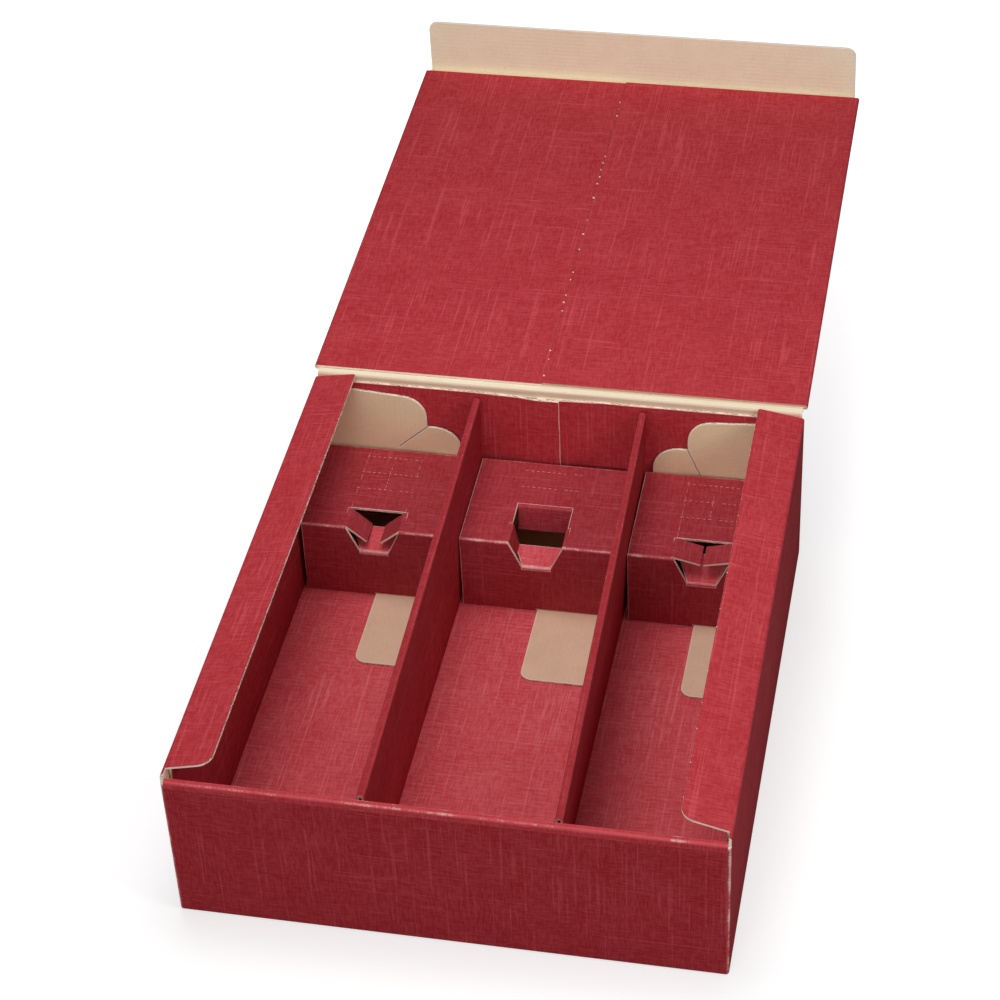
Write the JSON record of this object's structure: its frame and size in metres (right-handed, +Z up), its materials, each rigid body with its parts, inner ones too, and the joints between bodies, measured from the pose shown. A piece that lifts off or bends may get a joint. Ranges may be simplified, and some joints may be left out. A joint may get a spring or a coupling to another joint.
{
  "type": "bottle shipping box",
  "caption": "Shallow hinged-lid carton of linen-printed corrugated board, with leaning dividers and folded neck bridges that hold bottles lying side by side.",
  "frame": {"origin": "middle of the box's underside, on the surface it stands on", "axes": "+Z up out of the open box, +Y to the hinged back, +X to the right seen from the front"},
  "size_m": [0.3076, 0.6948, 0.1635],
  "materials": {
    "red_board": "matt linen print over corrugated board, kraft on the other face",
    "kraft_board": "plain kraft liner over corrugated board"
  },
  "bodies": {
    "tray": {"outer_tray": "red_board", "insert": "red_board", "neck_bridge_left": "red_board", "neck_bridge_centre": "red_board", "neck_bridge_right": "red_board"},
    "lid": {"lid": "red_board"},
    "tuck_flap": {"tuck_flap": "kraft_board"}
  },
  "joints": [
    {"name": "lid_hinge", "type": "hinge", "parent": "tray", "child": "lid", "pos_m": [0, 0.175, 0.1097], "axis": [1, 0, 0], "range_deg": [-17, 178]},
    {"name": "tuck_flap_hinge", "type": "hinge", "parent": "lid", "child": "tuck_flap", "pos_m": [0, 0.51979, 0.12174], "axis": [1, 0, 0], "range_deg": [-93.5, 1.5]}
  ]
}
